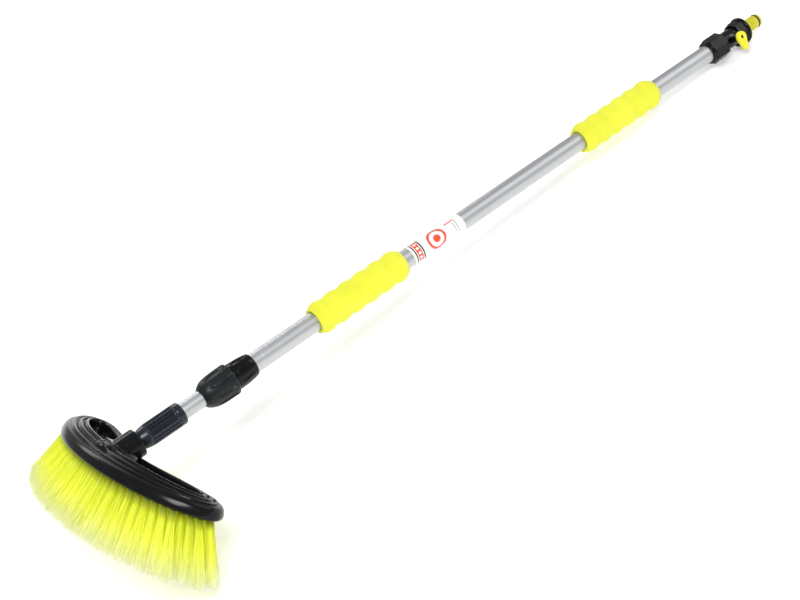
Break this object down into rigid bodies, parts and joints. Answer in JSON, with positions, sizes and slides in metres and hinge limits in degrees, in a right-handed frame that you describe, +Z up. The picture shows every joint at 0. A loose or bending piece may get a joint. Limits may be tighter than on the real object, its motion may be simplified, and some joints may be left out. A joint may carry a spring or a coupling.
{
  "type": "telescopic water-fed wash brush",
  "caption": "Water-fed cleaning brush on a telescopic aluminium pole with foam grips, a twist lock and a lever valve with a push-fit hose connector.",
  "frame": {"origin": "centre of the bounding box's base, on the floor that the brush lies on", "axes": "+X along the pole's lie from the brush head to the hose connector, +Y along the brush head, +Z up"},
  "size_m": [1.069, 0.3206, 0.1376],
  "materials": {
    "black_plastic": "satin",
    "charcoal_plastic": "satin",
    "slate_plastic": "satin",
    "nylon": "satin",
    "rubber": "matte",
    "aluminium": "satin",
    "steel": "polished",
    "yellow_plastic": "satin",
    "yellow_foam": "matte",
    "bristles": "matte",
    "label": "satin"
  },
  "bodies": {
    "outer_pole": {"outer_tube": "aluminium", "front_foam_grip": "yellow_foam", "rear_foam_grip": "yellow_foam", "label_sleeve": "label", "lock_body": "black_plastic", "lock_collet": "nylon", "lock_seal": "rubber", "tube_clamp_nut": "black_plastic", "tube_grip_ring": "nylon", "tube_seal": "rubber", "valve_body": "black_plastic", "ball_seat_front": "nylon", "ball_seat_rear": "nylon", "outlet_collar": "black_plastic", "hose_connector": "yellow_plastic", "connector_oring": "rubber", "connector_washer": "rubber"},
    "lock_ring": {"lock_nut": "charcoal_plastic"},
    "slider": {"piston_seal_front": "rubber", "piston_seal_rear": "rubber"},
    "inner_pole": {"inner_tube": "aluminium", "tube_spigot": "nylon", "piston_bush": "nylon", "head_washer": "rubber", "brush_head_cover": "black_plastic", "brush_head_base": "black_plastic", "bristle_row_1": "bristles", "bristle_row_2": "bristles", "bristle_row_3": "bristles", "bristle_row_4": "bristles", "bristle_row_5": "bristles"},
    "head_coupling": {"head_coupling_nut": "slate_plastic"},
    "valve_handle": {"valve_lever": "yellow_plastic", "lever_screw": "steel", "valve_stem": "nylon", "stem_oring": "rubber", "valve_ball": "steel"}
  },
  "joints": [
    {"name": "telescope_slide", "type": "slide", "parent": "outer_pole", "child": "slider", "axis": [-0.9952, 0, 0.0981], "range_m": [0, 0.6]},
    {"name": "pole_twist", "type": "hinge", "parent": "slider", "child": "inner_pole", "pos_m": [-0.35737, 0, 0.10209], "axis": [0.9952, 0, -0.0981], "continuous": true},
    {"name": "head_coupling_turn", "type": "hinge", "parent": "inner_pole", "child": "head_coupling", "pos_m": [-0.39718, 0, 0.10602], "axis": [0.9952, 0, -0.0981], "range_deg": [0, 720]},
    {"name": "lock_nut_turn", "type": "hinge", "parent": "outer_pole", "child": "lock_ring", "pos_m": [-0.32155, 0, 0.09856], "axis": [0.9952, 0, -0.0981], "range_deg": [0, 120]},
    {"name": "valve_turn", "type": "hinge", "parent": "outer_pole", "child": "valve_handle", "pos_m": [0.47758, 0, 0.01977], "axis": [0.0279, -0.9588, 0.2826], "range_deg": [0, 90]}
  ]
}
